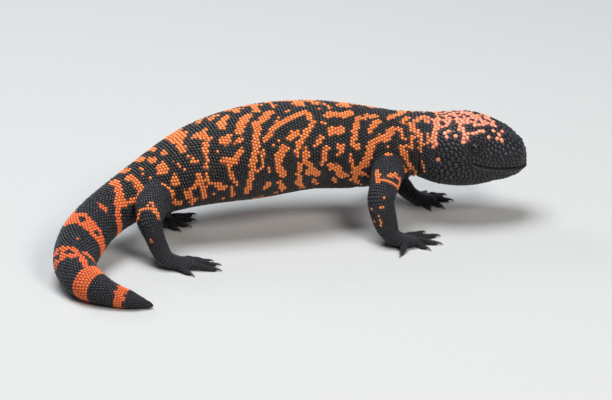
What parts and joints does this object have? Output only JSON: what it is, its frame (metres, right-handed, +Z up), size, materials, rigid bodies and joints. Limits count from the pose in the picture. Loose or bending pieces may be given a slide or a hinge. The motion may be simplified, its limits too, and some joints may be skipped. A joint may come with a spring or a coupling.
{
  "type": "gila monster",
  "caption": "Life-size still model of a Gila monster walking, with a beaded black and orange hide, a heavy curled tail, and claws.",
  "frame": {"origin": "middle of the space the animal takes, on the floor it stands on", "axes": "+X towards the head, +Y towards the animal's left side, +Z up"},
  "size_m": [0.3754, 0.1813, 0.0942],
  "materials": {
    "hide_head": "black beaded hide with salmon pink blotches on the crown, satin sheen",
    "hide_body": "beaded hide in a black and orange network, satin sheen",
    "hide_tail": "beaded hide in black and orange bands, satin sheen",
    "hide_limbs": "black beaded hide with an orange band and flecks, satin sheen",
    "eye": "wet gloss",
    "eardrum": "smooth, dull",
    "claw": "dark horn, polished at the point"
  },
  "bodies": {
    "root": {"head": "hide_head", "jaw": "hide_head", "neck": "hide_body", "trunk_fore": "hide_body", "trunk_mid": "hide_body", "trunk_hind": "hide_body", "tail_root": "hide_tail", "tail_mid": "hide_tail", "tail_rear": "hide_tail", "tail_tip": "hide_tail", "upper_arm_left": "hide_limbs", "forearm_left": "hide_limbs", "hand_left": "hide_limbs", "thigh_left": "hide_limbs", "shank_left": "hide_limbs", "foot_left": "hide_limbs", "eye_left": "eye", "ear_left": "eardrum", "claw_hand_left_1": "claw", "claw_hand_left_2": "claw", "claw_hand_left_3": "claw", "claw_hand_left_4": "claw", "claw_hand_left_5": "claw", "claw_foot_left_1": "claw", "claw_foot_left_2": "claw", "claw_foot_left_3": "claw", "claw_foot_left_4": "claw", "claw_foot_left_5": "claw", "upper_arm_right": "hide_limbs", "forearm_right": "hide_limbs", "hand_right": "hide_limbs", "thigh_right": "hide_limbs", "shank_right": "hide_limbs", "foot_right": "hide_limbs", "eye_right": "eye", "ear_right": "eardrum", "claw_hand_right_1": "claw", "claw_hand_right_2": "claw", "claw_hand_right_3": "claw", "claw_hand_right_4": "claw", "claw_hand_right_5": "claw", "claw_foot_right_1": "claw", "claw_foot_right_2": "claw", "claw_foot_right_3": "claw", "claw_foot_right_4": "claw", "claw_foot_right_5": "claw"}
  },
  "joints": []
}
